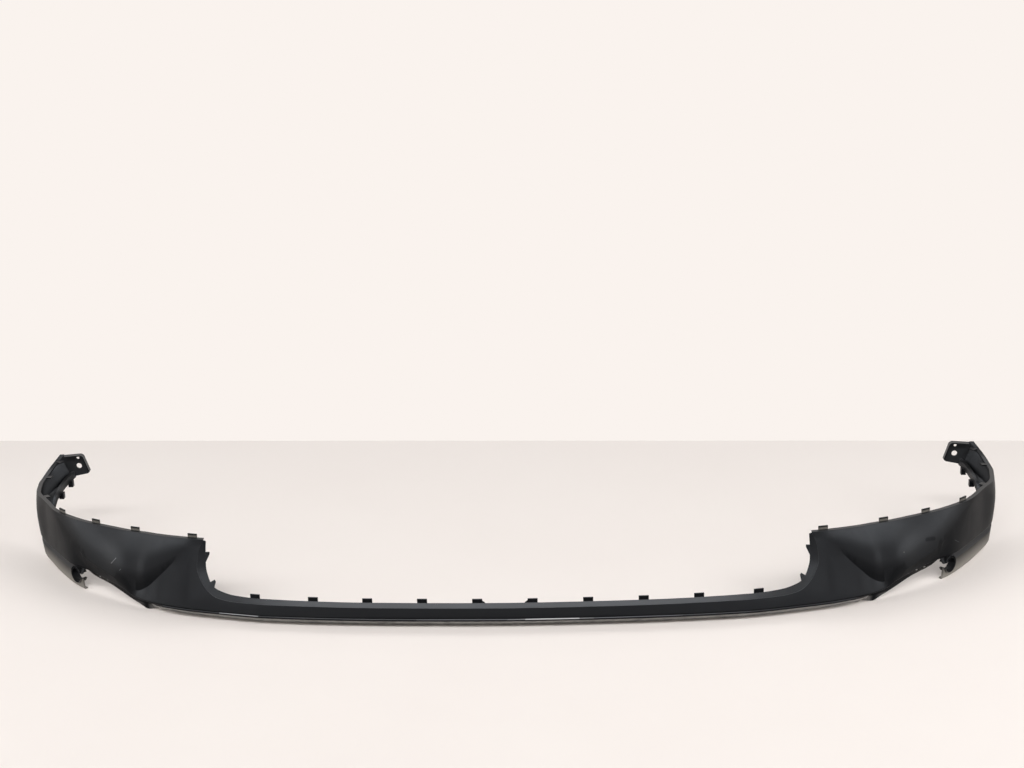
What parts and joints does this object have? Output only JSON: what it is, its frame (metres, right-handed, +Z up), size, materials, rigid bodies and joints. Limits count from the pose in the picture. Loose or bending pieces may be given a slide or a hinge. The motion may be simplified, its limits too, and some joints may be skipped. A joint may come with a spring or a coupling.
{
  "type": "front splitter lip",
  "caption": "One-piece moulded lower lip for a car's front bumper: centre bar, creased wings that wrap to the sides, snap tabs on its upper edges and screw flanges at its ends.",
  "frame": {"origin": "on the floor that the lip stands on, below the middle of its box, on its plane of symmetry", "axes": "+X across the car to its own left, seen from the front to the right, +Y back from the leading edge to the end flanges, +Z up"},
  "size_m": [1.7884, 0.467, 0.1595],
  "materials": {
    "grained_polypropylene": "black, fine moulded grain with a soft sheen"
  },
  "bodies": {
    "root": {"splitter_lip": "grained_polypropylene"}
  },
  "joints": []
}
